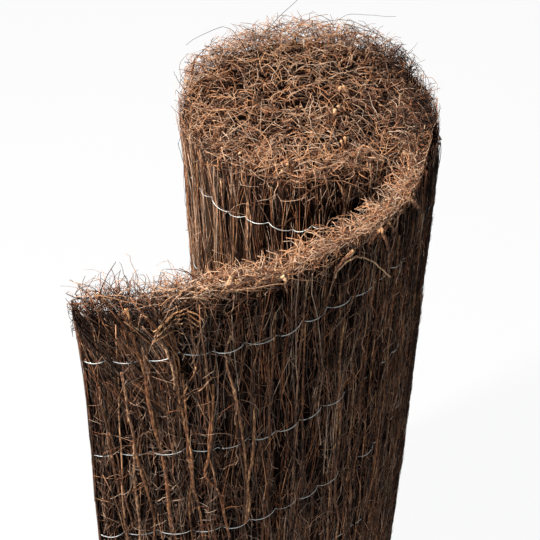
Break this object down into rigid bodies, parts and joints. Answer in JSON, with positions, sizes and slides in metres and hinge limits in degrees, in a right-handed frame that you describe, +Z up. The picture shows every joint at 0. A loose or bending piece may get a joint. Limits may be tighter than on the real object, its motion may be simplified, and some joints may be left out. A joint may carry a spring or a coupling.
{
  "type": "fence screening roll",
  "caption": "Standing roll of heather fence screening bound with rows of wire, wound as one spiral mat, with its loose end swept round to the front.",
  "frame": {"origin": "on the floor at the roll's axis, the middle of its core bundle's foot", "axes": "+Z up along the roll's axis, -Y to the front where the loose flap stands, +X to the side where the flap leaves the roll"},
  "size_m": [0.395, 0.536, 1.026],
  "materials": {
    "heather": "dry bark, rough and matt",
    "galvanised_wire": "dull galvanised"
  },
  "bodies": {
    "root": {"heather_mat": "heather", "binding_wire_1": "galvanised_wire", "binding_wire_2": "galvanised_wire", "binding_wire_3": "galvanised_wire", "binding_wire_4": "galvanised_wire", "binding_wire_5": "galvanised_wire", "binding_wire_6": "galvanised_wire", "binding_wire_7": "galvanised_wire"}
  },
  "joints": []
}
